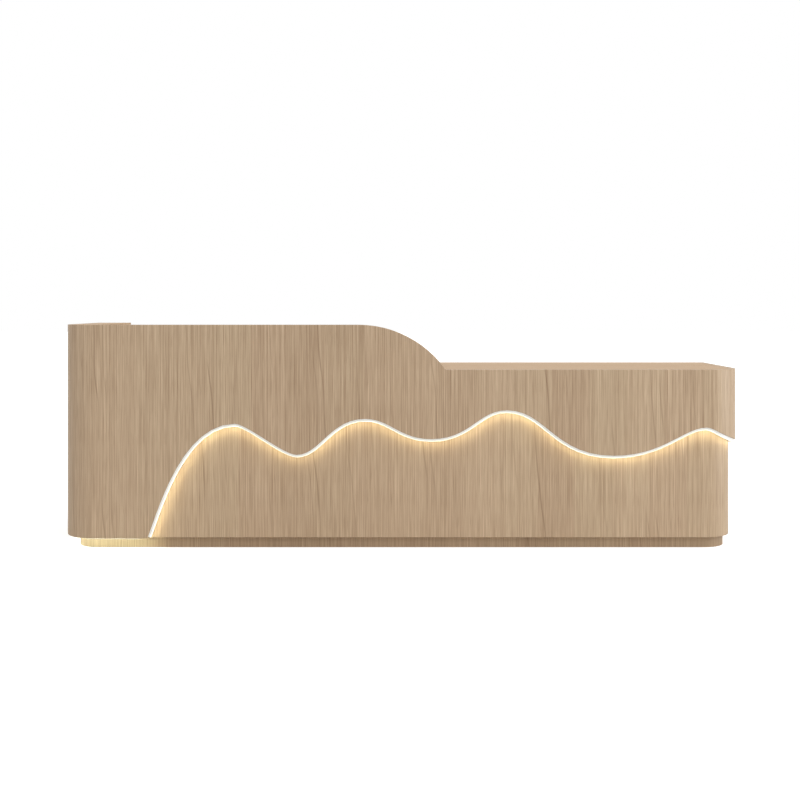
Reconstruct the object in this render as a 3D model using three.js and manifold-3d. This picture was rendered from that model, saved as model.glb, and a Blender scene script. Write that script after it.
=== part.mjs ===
// A reception desk. A tall screened workplace drops in one round shoulder to a low counter.
// A bent veneered skin wraps the front and both ends, and its wave-cut lower edge carries a line of light.
// Millimetres, +Z up. Visitors stand on the -Y side and staff sit on the +Y side.

import * as THREE from 'three';
import { mergeVertices } from 'three/addons/utils/BufferGeometryUtils.js';
import Module from 'manifold-3d';

// Overall size
const LENGTH = 3050;
const DEPTH = 640;
const TALL = 1000;
const LOW = 800;
const CORNER_RADIUS = 160;
const SHOULDER_START = -193;
const SHOULDER_RADIUS = 480;

// Board thicknesses, and the glue line left between neighbouring pieces
const FASCIA = 30;
const BOARD = 18;
const WORKTOP = 25;
const GAP = 0.3;

// Points closer than this are one corner
const WELD = 1e-4;

// Plinth
const PLINTH_HEIGHT = 50;
const PLINTH_RECESS = 55;
const PLINTH_BACK = 250;
const FOOT_RAIL = 27;

// Wave edge, measured along the skin from the middle of the front. Each turn is a crest or a trough,
// and before and after say how far the curve reaches level on either side of it.
const WAVE_START = { along: -1130, height: PLINTH_HEIGHT, lean: 37, rise: 88 };
const WAVE_TURNS = [
  { along: -741, height: 560, before: 244, after: 53 },
  { along: -466, height: 422, before: 59, after: 102 },
  { along: -162, height: 582, before: 154, after: 109 },
  { along: 131, height: 492, before: 139, after: 177 },
  { along: 469, height: 620, before: 130, after: 172 },
  { along: 942, height: 418, before: 264, after: 222 },
  { along: 1355, height: 543, before: 100, after: 52 },
  { along: 1760, height: 464, before: 312, after: 110 },
];
const WAVE_END = { height: 500, before: 100 };
const WAVE_LEAD_IN = 0.25;
const WAVE_STEPS = 13;
const ARC_STEPS = 12;

// Line of light: an aluminium channel let into the edge of the skin, a lamp tape and an opal cover
const CHANNEL_WIDTH = 20;
const CHANNEL_DEPTH = 9;
const CHANNEL_WALL = 1.2;
const TAPE_WIDTH = 10;
const TAPE_THICKNESS = 1;
const TAPE_GLUE = 0.6;
const COVER_INSIDE = 4;
const COVER_STRAIGHT = 6;
const COVER_DOME = 7;
const COVER_DOME_STEPS = 6;
const BASE_COVER_DOME = 3;
const LIGHT_SETBACK = 3;

// Left end wall and the staff side
const END_WALL = 160;
const BEND_EASE = 3;
const STAFF_FACE = 312;
const GABLES = { gable_left: -300, gable_middle: 150, gable_right: 1082 };
const SHELF_HEIGHT = 420;
const SHELF_SETBACK = 40;
const REVEAL = 1.5;

// Drawers: the height span of each front, and how tall its steel sides are
const DRAWERS = [
  { name: 'bottom_drawer', low: 70, high: 408, side: 240 },
  { name: 'middle_drawer', low: 411, high: 590, side: 110 },
  { name: 'top_drawer', low: 593, high: 772.5, side: 110 },
];
const DRAWER_LENGTH = 480;
const DRAWER_LIFT = 20;
const DRAWER_BOTTOM = 12;
const DRAWER_BACK = 16;
const FINGER_WIDTH = 110;
const FINGER_DEPTH = 24;

// Steel runners: a folded side with a bulge that rides in a C rail
const SHEET = 1.2;
const HEM = 8;
const FLANGE = 24;
const BULGE = 7;
const BULGE_LOW = 22;
const BULGE_HIGH = 46;
const RUNNER_SPACE = 13;
const RAIL_PLAY = 3;
const RAIL_LENGTH = 465;

// Keyboard tray under the worktop
const TRAY = { middle: -776, width: 700, depth: 320, front: 260, bottom: 680, side: 56 };
const HANGER_LENGTH = 440;
const HANGER_FLANGE = 20;
const HANGER_PAST = 26;

// Double doors on continuous hinges
const DOOR_LOW = 70;
const DOOR_HIGH = 772.5;
const FINGER_RADIUS = 30;
const LEAF = 1;
const LEAF_WIDTH = 24;
const LEAF_GAP = 0.7;
const KNUCKLE_RADIUS = 3.2;
const KNUCKLE_BORE = 1.6;
const PIN_RADIUS = 1.3;
const KNUCKLES = 8;
const ROUND_STEPS = 12;
const SIDES = { left: -1, right: 1 };

// Cable outlet in the worktop, and the lamp driver behind the front panel
const OUTLET = { x: -450, y: -215, bore: 30, sleeve: 32, rim: 40, rimThickness: 3, sleeveLength: 32 };
const DRIVER = { x: 660, z: 620, length: 190, height: 45, depth: 32, ear: 16, earThickness: 3, hole: 2.5 };

// Worked out from the above
const FRONT = -DEPTH / 2;
const BACK = DEPTH / 2;
const FRONT_HALF = LENGTH / 2 - CORNER_RADIUS;
const CORNER_ARC = (CORNER_RADIUS * Math.PI) / 2;
const RUN_END = FRONT_HALF + CORNER_ARC + DEPTH - CORNER_RADIUS;
const PANEL_INSET = FASCIA + GAP;
const PANEL_BACK = FRONT + PANEL_INSET + BOARD;
const INNER_INSET = PANEL_INSET + BOARD + GAP;
const UNDER_TOP = LOW - WORKTOP - GAP;
const BASE_TOP = PLINTH_HEIGHT + BOARD;
const END_FACE = END_WALL - LENGTH / 2;
const SHOULDER_CENTRE = TALL - SHOULDER_RADIUS;
const SHOULDER_ANGLE = Math.asin((LOW - SHOULDER_CENTRE) / SHOULDER_RADIUS);
const SHOULDER_END = SHOULDER_START + SHOULDER_RADIUS * Math.cos(SHOULDER_ANGLE);
const FRONTS_INSIDE = STAFF_FACE - BOARD;

// Finishes
const OAK = { color: 0xb49c82, roughness: 0.55, metalness: 0 };
const OAK_TOP = { color: 0xcfb69a, roughness: 0.5, metalness: 0 };
const PLINTH = { color: 0x967a62, roughness: 0.6, metalness: 0 };
const CARCASS = { color: 0xd9d2c6, roughness: 0.6, metalness: 0 };
const ALUMINIUM = { color: 0xc4c6c8, roughness: 0.35, metalness: 0.9 };
const LAMP_TAPE = { color: 0xf2efe2, roughness: 0.6, metalness: 0 };
const OPAL = { color: 0xfffbee, roughness: 0.4, metalness: 0, emissive: 0xfff3cf };
const STEEL = { color: 0x9a9ea3, roughness: 0.4, metalness: 0.8 };
const PLASTIC = { color: 0x2b2b2c, roughness: 0.5, metalness: 0 };

const wasm = await Module();
wasm.setup();

const desk = new THREE.Group();

function add(name, geometry, finish, parent = desk) {
  const mesh = new THREE.Mesh(geometry, new THREE.MeshStandardMaterial(finish));
  mesh.name = name;
  parent.add(mesh);
}

// Cutting and joining solids
function solidOf(geometry) {
  const bare = geometry.clone();
  bare.deleteAttribute('normal');
  bare.deleteAttribute('uv');
  const merged = mergeVertices(bare, WELD);
  const vertProperties = new Float32Array(merged.attributes.position.array);
  const corners = merged.index.array;
  const whole = [];
  for (let i = 0; i < corners.length; i += 3) {
    const [a, b, c] = corners.slice(i, i + 3);
    if (a !== b && b !== c && c !== a) {
      whole.push(a, b, c);
    }
  }
  const triVerts = new Uint32Array(whole);
  return new wasm.Manifold(new wasm.Mesh({ numProp: 3, vertProperties, triVerts }));
}

function geometryOf(solid) {
  const { vertProperties, triVerts } = solid.getMesh();
  const geometry = new THREE.BufferGeometry();
  geometry.setAttribute('position', new THREE.BufferAttribute(vertProperties, 3));
  geometry.setIndex(new THREE.BufferAttribute(triVerts, 1));
  return geometry;
}

function cut(geometry, ...tools) {
  return geometryOf(tools.reduce((solid, tool) => solid.subtract(solidOf(tool)), solidOf(geometry)));
}

function join(geometry, ...others) {
  return geometryOf(others.reduce((solid, other) => solid.add(solidOf(other)), solidOf(geometry)));
}

// Basic forms
function board([x0, x1], [y0, y1], [z0, z1]) {
  const box = new THREE.BoxGeometry(x1 - x0, y1 - y0, z1 - z0);
  return box.translate((x0 + x1) / 2, (y0 + y1) / 2, (z0 + z1) / 2);
}

function planBoard(outline, bottom, top) {
  const options = { depth: top - bottom, bevelEnabled: false, curveSegments: ARC_STEPS / 2 };
  return new THREE.ExtrudeGeometry(outline, options).translate(0, 0, bottom);
}

function uprightBoard(outline, front, back) {
  const options = { depth: back - front, bevelEnabled: false, curveSegments: ARC_STEPS / 2 };
  return new THREE.ExtrudeGeometry(outline, options).rotateX(Math.PI / 2).translate(0, back, 0);
}

// A closed ring or disc turned about a vertical axis
function turned(profile, x, y, steps) {
  const points = profile.map(([radius, z]) => new THREE.Vector2(radius, z));
  return new THREE.LatheGeometry(points, steps).rotateX(Math.PI / 2).translate(x, y, 0);
}

// Outline of a sheet folded along a line of points, with its thickness on the left of the line
function foldedSheet(line, thickness) {
  const points = line.map(([x, z]) => new THREE.Vector2(x, z));
  const normals = [];
  for (let i = 0; i + 1 < points.length; i += 1) {
    const direction = points[i + 1].clone().sub(points[i]).normalize();
    normals.push(new THREE.Vector2(-direction.y, direction.x));
  }
  const inner = points.map((point, i) => {
    const before = normals[Math.max(i - 1, 0)];
    const after = normals[Math.min(i, normals.length - 1)];
    const mitre = before.clone().add(after).divideScalar(1 + before.dot(after));
    return point.clone().addScaledVector(mitre, thickness);
  });
  return new THREE.Shape([...points, ...inner.reverse()]);
}

function outlineOf(points) {
  return new THREE.Shape(points.map(([x, y]) => new THREE.Vector2(x, y)));
}

// The same fold for a left-hand piece, or mirrored for a right-hand one, standing at x
function handed(line, side, x) {
  const placed = line.map(([across, up]) => [x - side * across, up]);
  return side < 0 ? placed : placed.reverse();
}

// Skin of matching sections with both ends closed
function loft(sections, outline) {
  const count = outline.length;
  const index = [];
  for (let s = 0; s + 1 < sections.length; s += 1) {
    for (let k = 0; k < count; k += 1) {
      const a = s * count + k;
      const b = s * count + ((k + 1) % count);
      index.push(a, b, b + count, a, b + count, a + count);
    }
  }
  const last = (sections.length - 1) * count;
  const flat = outline.map(([across, up]) => new THREE.Vector2(across, up));
  for (const [a, b, c] of THREE.ShapeUtils.triangulateShape(flat, [])) {
    index.push(c, b, a, last + a, last + b, last + c);
  }
  const geometry = new THREE.BufferGeometry();
  geometry.setAttribute('position', new THREE.Float32BufferAttribute(sections.flat(2), 3));
  geometry.setIndex(index);
  return geometry;
}

// A point of the skin's plan: along runs round the desk from the middle of the front, inset goes inwards
function planPoint(along, inset) {
  const past = Math.abs(along) - FRONT_HALF;
  if (past <= 0) {
    return [along, FRONT + inset];
  }
  const radius = CORNER_RADIUS - inset;
  const turn = Math.min(past / CORNER_RADIUS, Math.PI / 2);
  const straight = Math.max(past - CORNER_ARC, 0);
  const x = FRONT_HALF + radius * Math.sin(turn);
  const y = FRONT + CORNER_RADIUS - radius * Math.cos(turn) + straight;
  return [Math.sign(along) * x, y];
}

function cornerStops() {
  const stops = [];
  for (let i = 0; i <= ARC_STEPS; i += 1) {
    const past = FRONT_HALF + (CORNER_ARC * i) / ARC_STEPS;
    stops.push(past, -past);
  }
  return stops;
}

// The wave as a line of [along, height], with stops added where the skin bends
function waveLine() {
  const path = new THREE.Path();
  path.moveTo(WAVE_START.along, WAVE_START.height);
  let reach = [WAVE_START.along + WAVE_START.lean, WAVE_START.height + WAVE_START.rise];
  for (const turn of WAVE_TURNS) {
    path.bezierCurveTo(...reach, turn.along - turn.before, turn.height, turn.along, turn.height);
    reach = [turn.along + turn.after, turn.height];
  }
  path.bezierCurveTo(...reach, RUN_END - WAVE_END.before, WAVE_END.height, RUN_END, WAVE_END.height);
  const line = path.getPoints(WAVE_STEPS).map((point) => [point.x, point.y]);
  const bends = cornerStops().filter((along) => along > 0 && along < RUN_END);
  const extra = bends.map((along) => [along, heightAt(line, along)]);
  return [...line, ...extra].sort((a, b) => a[0] - b[0]);
}

function heightAt(line, along) {
  const next = Math.max(line.findIndex((point) => point[0] >= along - WELD), 1);
  const [a0, h0] = line[next - 1];
  const [a1, h1] = line[next];
  return h0 + ((h1 - h0) * (along - a0)) / (a1 - a0);
}

// The stretch of a line between two stops
function stretch(line, from, to) {
  const inside = line.filter(([along]) => along > from && along < to);
  return [[from, heightAt(line, from)], ...inside, [to, heightAt(line, to)]];
}

// A board bent round the plan, with a lower edge that follows a line and a level top
function bentBoard(edge, inset, thickness, top) {
  const outline = [[0, 0], [1, 0], [1, 1], [0, 1]];
  const sections = edge.map(([along, bottom]) =>
    outline.map(([across, up]) => [
      ...planPoint(along, inset + across * thickness),
      bottom + up * (top - bottom),
    ]));
  return loft(sections, outline);
}

function levelEdge(from, to, height) {
  const stops = cornerStops().filter((along) => along > from && along < to);
  return [from, ...stops.sort((a, b) => a - b), to].map((along) => [along, height]);
}

// A strip that follows an edge of the skin: its outline is [inset, depth into the edge]
function edgeStrip(edge, outline) {
  const sections = edge.map(([along, height], i) => {
    const [a0, h0] = edge[Math.max(i - 1, 0)];
    const [a1, h1] = edge[Math.min(i + 1, edge.length - 1)];
    const run = Math.hypot(a1 - a0, h1 - h0);
    return outline.map(([inset, depth]) => [
      ...planPoint(along - (depth * (h1 - h0)) / run, inset),
      height + (depth * (a1 - a0)) / run,
    ]);
  });
  return loft(sections, outline);
}

// Plan outline inside one rounded end of the skin (side 1 is right), from an inner face out to an inset
function roundedEnd(side, inner, back, inset) {
  const outline = new THREE.Shape();
  const turnTo = side > 0 ? 0 : -Math.PI;
  outline.moveTo(inner, FRONT + inset);
  outline.lineTo(side * FRONT_HALF, FRONT + inset);
  outline.absarc(
    side * FRONT_HALF, FRONT + CORNER_RADIUS, CORNER_RADIUS - inset, -Math.PI / 2, turnTo, side < 0,
  );
  outline.lineTo(side * (LENGTH / 2 - inset), back);
  outline.lineTo(inner, back);
  return outline;
}

// Upper outline shared by the fascia and the panel behind it: low top, round shoulder, tall top
function shoulderTo(outline, left) {
  outline.lineTo(SHOULDER_END, LOW);
  outline.absarc(SHOULDER_START, SHOULDER_CENTRE, SHOULDER_RADIUS, SHOULDER_ANGLE, Math.PI / 2, false);
  outline.lineTo(left, TALL);
}

const wave = waveLine();
const middle = FASCIA / 2;

// Groove sections cut into the skin's edge for the light channels
function channelGroove(edge) {
  const half = CHANNEL_WIDTH / 2 + GAP;
  const open = -COVER_STRAIGHT;
  const floor = CHANNEL_DEPTH + GAP;
  return edgeStrip(edge, [
    [middle - half, open],
    [middle + half, open],
    [middle + half, floor],
    [middle - half, floor],
  ]);
}

function lightChannel(edge) {
  const half = CHANNEL_WIDTH / 2;
  const slot = half - CHANNEL_WALL;
  const floor = CHANNEL_DEPTH - CHANNEL_WALL;
  return edgeStrip(edge, [
    [middle - half, 0],
    [middle - slot, 0],
    [middle - slot, floor],
    [middle + slot, floor],
    [middle + slot, 0],
    [middle + half, 0],
    [middle + half, CHANNEL_DEPTH],
    [middle - half, CHANNEL_DEPTH],
  ]);
}

function lampTape(edge) {
  const half = TAPE_WIDTH / 2;
  const back = CHANNEL_DEPTH - CHANNEL_WALL - TAPE_GLUE;
  return edgeStrip(edge, [
    [middle - half, back - TAPE_THICKNESS],
    [middle + half, back - TAPE_THICKNESS],
    [middle + half, back],
    [middle - half, back],
  ]);
}

// Opal cover with a half-round nose that stands out below the edge
function opalCover(edge, straight, dome) {
  const half = CHANNEL_WIDTH / 2 - CHANNEL_WALL - GAP;
  const nose = [];
  for (let i = 0; i <= COVER_DOME_STEPS; i += 1) {
    const angle = Math.PI + (Math.PI * i) / COVER_DOME_STEPS;
    nose.push([middle + half * Math.cos(angle), dome * Math.sin(angle) - straight]);
  }
  return edgeStrip(edge, [...nose, [middle + half, COVER_INSIDE], [middle - half, COVER_INSIDE]]);
}

// Skin: wave fascia across the front, and a bent skin round each end
const lead = [
  WAVE_START.along - WAVE_START.lean * WAVE_LEAD_IN,
  WAVE_START.height - WAVE_START.rise * WAVE_LEAD_IN,
];
const waveGroove = channelGroove([lead, ...wave, [RUN_END + FASCIA, WAVE_END.height]]);
const baseEnd = WAVE_START.along - FASCIA;
const baseGroove = channelGroove(levelEdge(-RUN_END - FASCIA, baseEnd, PLINTH_HEIGHT));

const fascia = new THREE.Shape();
fascia.moveTo(-FRONT_HALF, PLINTH_HEIGHT);
for (const [along, height] of stretch(wave, WAVE_START.along, FRONT_HALF)) {
  fascia.lineTo(along, height);
}
fascia.lineTo(FRONT_HALF, LOW);
shoulderTo(fascia, -FRONT_HALF);
add('wave_fascia', cut(uprightBoard(fascia, FRONT, FRONT + FASCIA), waveGroove, baseGroove), OAK);

const leftEdge = levelEdge(-RUN_END, -FRONT_HALF - GAP, PLINTH_HEIGHT);
add('left_corner_skin', cut(bentBoard(leftEdge, 0, FASCIA, TALL), baseGroove), OAK);

const rightEdge = stretch(wave, FRONT_HALF + GAP, RUN_END);
add('right_corner_skin', cut(bentBoard(rightEdge, 0, FASCIA, LOW), waveGroove), OAK);

// Light line under the wave, and a second one that washes the plinth below the tall end
const waveRun = stretch(wave, WAVE_START.along + LIGHT_SETBACK, RUN_END - LIGHT_SETBACK);
add('led_channel_wave', lightChannel(waveRun), ALUMINIUM);
add('led_tape_wave', lampTape(waveRun), LAMP_TAPE);
add('led_diffuser_wave', opalCover(waveRun, COVER_STRAIGHT, COVER_DOME), OPAL);
const baseRun = levelEdge(LIGHT_SETBACK - RUN_END, baseEnd - LIGHT_SETBACK, PLINTH_HEIGHT);
add('led_channel_base', lightChannel(baseRun), ALUMINIUM);
add('led_diffuser_base', opalCover(baseRun, 0, BASE_COVER_DOME), OPAL);

// Lower front panel, which also backs the tall screen, and its bent right end
const panel = new THREE.Shape();
panel.moveTo(GAP - FRONT_HALF, PLINTH_HEIGHT);
panel.lineTo(FRONT_HALF, PLINTH_HEIGHT);
panel.lineTo(FRONT_HALF, UNDER_TOP);
panel.lineTo(SHOULDER_END, UNDER_TOP);
shoulderTo(panel, GAP - FRONT_HALF);
add('front_panel', uprightBoard(panel, FRONT + PANEL_INSET, PANEL_BACK), OAK);
const panelEdge = levelEdge(FRONT_HALF + GAP, RUN_END, PLINTH_HEIGHT);
add('front_panel_right_end', bentBoard(panelEdge, PANEL_INSET, BOARD, UNDER_TOP), OAK);

// Worktop, let in behind the fascia on the low side and behind the screen on the tall side
const behindScreen = PANEL_BACK + GAP;
const topLeft = END_FACE + GAP;
const top = new THREE.Shape();
top.moveTo(topLeft, behindScreen);
top.lineTo(SHOULDER_END + GAP, behindScreen);
top.lineTo(SHOULDER_END + GAP, FRONT + PANEL_INSET);
top.lineTo(FRONT_HALF, FRONT + PANEL_INSET);
top.absarc(FRONT_HALF, FRONT + CORNER_RADIUS, CORNER_RADIUS - PANEL_INSET, -Math.PI / 2, 0, false);
top.lineTo(LENGTH / 2 - PANEL_INSET, BACK);
top.lineTo(topLeft, BACK);
const rimSeat = LOW - OUTLET.rimThickness - GAP;
const outletHole = turned([
  [0, LOW - 2 * WORKTOP],
  [OUTLET.sleeve + GAP, LOW - 2 * WORKTOP],
  [OUTLET.sleeve + GAP, rimSeat],
  [OUTLET.rim + GAP, rimSeat],
  [OUTLET.rim + GAP, LOW + WORKTOP],
  [0, LOW + WORKTOP],
], OUTLET.x, OUTLET.y, 2 * ROUND_STEPS);
add('worktop', cut(planBoard(top, LOW - WORKTOP, LOW), outletHole), OAK_TOP);

// Cable outlet: a flush rim on a sleeve through the worktop
add('cable_grommet', turned([
  [OUTLET.bore, LOW - OUTLET.sleeveLength],
  [OUTLET.sleeve, LOW - OUTLET.sleeveLength],
  [OUTLET.sleeve, LOW - OUTLET.rimThickness],
  [OUTLET.rim, LOW - OUTLET.rimThickness],
  [OUTLET.rim, LOW],
  [OUTLET.bore, LOW],
  [OUTLET.bore, LOW - OUTLET.sleeveLength],
], OUTLET.x, OUTLET.y, 2 * ROUND_STEPS), PLASTIC);

// End wall on the left: inner and back boards between a bottom and a top cap, inside the bent skin
const wallPlan = roundedEnd(-1, END_FACE, BACK, PANEL_INSET);
const wallSpan = [BASE_TOP + GAP, TALL - BOARD - GAP];
const wallInner = [END_FACE - BOARD, END_FACE];
const wallDepth = [FRONT + PANEL_INSET + BEND_EASE, BACK - BOARD - GAP];
const wallWidth = [PANEL_INSET - LENGTH / 2, END_FACE];
add('end_wall_bottom', planBoard(wallPlan, PLINTH_HEIGHT, BASE_TOP), CARCASS);
add('end_wall_top_cap', planBoard(wallPlan, TALL - BOARD, TALL), OAK_TOP);
add('end_wall_inner_panel', board(wallInner, wallDepth, wallSpan), OAK);
add('end_wall_back_panel', board(wallWidth, [BACK - BOARD, BACK], wallSpan), OAK);

// Plinth: one skirt bent round the front and ends, and straight skirts that close it on the staff side
const plinthSpan = [0, PLINTH_HEIGHT - GAP];
const plinthEnd = FRONT_HALF + CORNER_ARC + PLINTH_BACK - FRONT - CORNER_RADIUS;
const plinthEdge = levelEdge(-plinthEnd, plinthEnd, 0);
add('plinth_skirt', bentBoard(plinthEdge, PLINTH_RECESS, BOARD, plinthSpan[1]), PLINTH);
const skirtBack = FRONT + PLINTH_RECESS + BOARD + GAP;
const skirtRight = LENGTH / 2 - PLINTH_RECESS - BOARD - GAP;
const cabinetLeft = GABLES.gable_left;
const rearSkirt = outlineOf([
  [cabinetLeft, skirtBack],
  [cabinetLeft + BOARD, skirtBack],
  [cabinetLeft + BOARD, PLINTH_BACK - BOARD],
  [skirtRight, PLINTH_BACK - BOARD],
  [skirtRight, PLINTH_BACK],
  [cabinetLeft, PLINTH_BACK],
]);
add('plinth_rear_skirt', planBoard(rearSkirt, ...plinthSpan), PLINTH);
const endRail = outlineOf([
  [wallInner[0], skirtBack + BEND_EASE],
  [wallInner[1], skirtBack + BEND_EASE],
  [wallInner[1], PLINTH_BACK],
  [-skirtRight, PLINTH_BACK],
  [-skirtRight, PLINTH_BACK - BOARD],
  [wallInner[0], PLINTH_BACK - BOARD],
]);
add('end_plinth_rail', planBoard(endRail, ...plinthSpan), PLINTH);

// Cabinets: a base board that runs on as a narrow foot rail to the end wall, three gables, and a shelf
// in each of the two right-hand bays
const baseBoard = roundedEnd(1, cabinetLeft, STAFF_FACE, INNER_INSET);
baseBoard.lineTo(cabinetLeft, behindScreen + FOOT_RAIL);
baseBoard.lineTo(topLeft, behindScreen + FOOT_RAIL);
baseBoard.lineTo(topLeft, behindScreen);
add('base_board', planBoard(baseBoard, PLINTH_HEIGHT, BASE_TOP), CARCASS);
for (const [name, left] of Object.entries(GABLES)) {
  const depth = [behindScreen, STAFF_FACE];
  add(name, board([left, left + BOARD], depth, [BASE_TOP + GAP, UNDER_TOP]), CARCASS);
}
const shelfBack = FRONTS_INSIDE - SHELF_SETBACK;
const shelfSpan = [SHELF_HEIGHT, SHELF_HEIGHT + BOARD];
const doorBay = [GABLES.gable_middle + BOARD, GABLES.gable_right];
const shelfWidth = [doorBay[0] + GAP, doorBay[1] - GAP];
add('cabinet_shelf', board(shelfWidth, [behindScreen, shelfBack], shelfSpan), CARCASS);
const openBay = roundedEnd(1, GABLES.gable_right + BOARD + GAP, shelfBack, INNER_INSET);
add('open_bay_shelf', planBoard(openBay, ...shelfSpan), CARCASS);

// Steel runners, drawn for a left-hand piece with zero at the outer face of its upright
const runnerLine = (height) => [
  [HEM, height],
  [0, height],
  [0, BULGE_HIGH],
  [-BULGE, BULGE_HIGH],
  [-BULGE, BULGE_LOW],
  [0, BULGE_LOW],
  [0, 0],
  [FLANGE, 0],
];
const railTop = BULGE_HIGH + RAIL_PLAY;
const railLow = BULGE_LOW - RAIL_PLAY;
const railWeb = GAP - RUNNER_SPACE;
const railLine = [
  [-RAIL_PLAY, railTop],
  [railWeb, railTop],
  [railWeb, railLow],
  [-RAIL_PLAY, railLow],
];

// Adds two folded steel sides and gives back the clear width between them
function runnerPair(names, webs, height, depth, parent) {
  for (const [hand, side] of Object.entries(SIDES)) {
    const fold = foldedSheet(handed(runnerLine(height), side, webs[hand]), SHEET);
    add(`${names}_${hand}`, uprightBoard(fold, ...depth), STEEL, parent);
  }
  return [webs.left + SHEET + GAP, webs.right - SHEET - GAP];
}

// Drawers with inset fronts, each scooped at its top edge for the fingers
const drawerBay = [cabinetLeft + BOARD, GABLES.gable_middle];
const drawerMiddle = (drawerBay[0] + drawerBay[1]) / 2;
const drawerWebs = { left: drawerBay[0] + RUNNER_SPACE, right: drawerBay[1] - RUNNER_SPACE };
const drawerDepth = [FRONTS_INSIDE - DRAWER_LENGTH, FRONTS_INSIDE - GAP];
const railDepth = [FRONTS_INSIDE - DRAWER_LENGTH, FRONTS_INSIDE - DRAWER_LENGTH + RAIL_LENGTH];
const boardSpan = [SHEET + GAP, SHEET + GAP + DRAWER_BOTTOM];

function drawerFront(low, high) {
  const outline = new THREE.Shape();
  const reach = FINGER_WIDTH / 2;
  const radius = (reach ** 2 + FINGER_DEPTH ** 2) / (2 * FINGER_DEPTH);
  const centre = high - FINGER_DEPTH + radius;
  const sweep = Math.asin(reach / radius);
  outline.moveTo(drawerBay[0] + REVEAL, low);
  outline.lineTo(drawerBay[1] - REVEAL, low);
  outline.lineTo(drawerBay[1] - REVEAL, high);
  outline.absarc(drawerMiddle, centre, radius, sweep - Math.PI / 2, -sweep - Math.PI / 2, true);
  outline.lineTo(drawerBay[0] + REVEAL, high);
  return uprightBoard(outline, FRONTS_INSIDE, STAFF_FACE);
}

for (const { name, low, high, side } of DRAWERS) {
  const drawer = new THREE.Group();
  drawer.position.z = low + DRAWER_LIFT;
  desk.add(drawer);
  add(`${name}_front`, drawerFront(low, high), OAK);
  const width = runnerPair(`${name}_side`, drawerWebs, side, drawerDepth, drawer);
  const backDepth = [drawerDepth[0], drawerDepth[0] + DRAWER_BACK];
  const backSpan = [boardSpan[1] + GAP, side - HEM];
  add(`${name}_bottom`, board(width, drawerDepth, boardSpan), CARCASS, drawer);
  add(`${name}_back`, board(width, backDepth, backSpan), CARCASS, drawer);
  for (const [hand, turn] of Object.entries(SIDES)) {
    const rail = foldedSheet(handed(railLine, turn, drawerWebs[hand]), SHEET);
    add(`${name}_rail_${hand}`, uprightBoard(rail, ...railDepth), STEEL, drawer);
  }
}

// Keyboard tray: a board on steel slides, hung from extruded rails under the worktop
const tray = new THREE.Group();
tray.position.z = TRAY.bottom;
desk.add(tray);
const trayWebs = { left: TRAY.middle - TRAY.width / 2, right: TRAY.middle + TRAY.width / 2 };
const trayDepth = [TRAY.front - TRAY.depth, TRAY.front];
const trayWidth = runnerPair('keyboard_slide', trayWebs, TRAY.side, trayDepth, tray);
const traySpan = [SHEET + GAP, SHEET + GAP + BOARD];
add('keyboard_tray', board(trayWidth, trayDepth, traySpan), OAK, tray);
const hangerTop = UNDER_TOP - TRAY.bottom;
const hangerWeb = railWeb + SHEET;
const hangerLine = [
  [railWeb - HANGER_FLANGE, hangerTop],
  [hangerWeb, hangerTop],
  [hangerWeb, railTop],
  [-RAIL_PLAY, railTop],
  [-RAIL_PLAY, railTop - SHEET],
  [hangerWeb, railTop - SHEET],
  [hangerWeb, railLow + SHEET],
  [-RAIL_PLAY, railLow + SHEET],
  [-RAIL_PLAY, railLow],
  [railWeb, railLow],
  [railWeb, hangerTop - SHEET],
  [railWeb - HANGER_FLANGE, hangerTop - SHEET],
];
const hangerFront = TRAY.front + HANGER_PAST;
const hangerDepth = [hangerFront - HANGER_LENGTH, hangerFront];
for (const [hand, side] of Object.entries(SIDES)) {
  const hanger = outlineOf(handed(hangerLine, side, trayWebs[hand]));
  add(`keyboard_hanger_${hand}`, uprightBoard(hanger, ...hangerDepth), ALUMINIUM, tray);
}

// Doors: inset boards that meet on a round finger hole, each on a continuous hinge with a pin
const doorMiddle = (doorBay[0] + doorBay[1]) / 2;
const doorHalf = (doorBay[1] - doorBay[0]) / 2;
const frameLeaf = doorHalf - GAP;
const doorLeaf = frameLeaf - LEAF - LEAF_GAP;
const hingeAxis = frameLeaf - LEAF - LEAF_GAP / 2;
const hingeY = STAFF_FACE + GAP + KNUCKLE_RADIUS;
const tongueEnd = hingeY - (KNUCKLE_RADIUS + KNUCKLE_BORE) / 2 + GAP;

function doorBoard(side) {
  const outline = new THREE.Shape();
  const meeting = doorMiddle + side * REVEAL;
  const hinged = doorMiddle + side * (doorLeaf - LEAF - GAP);
  const fingers = (DOOR_LOW + DOOR_HIGH) / 2;
  outline.moveTo(meeting, DOOR_LOW);
  outline.lineTo(hinged, DOOR_LOW);
  outline.lineTo(hinged, DOOR_HIGH);
  outline.lineTo(meeting, DOOR_HIGH);
  outline.absarc(meeting, fingers, FINGER_RADIUS, Math.PI / 2, -Math.PI / 2, side > 0);
  return uprightBoard(outline, FRONTS_INSIDE, STAFF_FACE);
}

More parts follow.
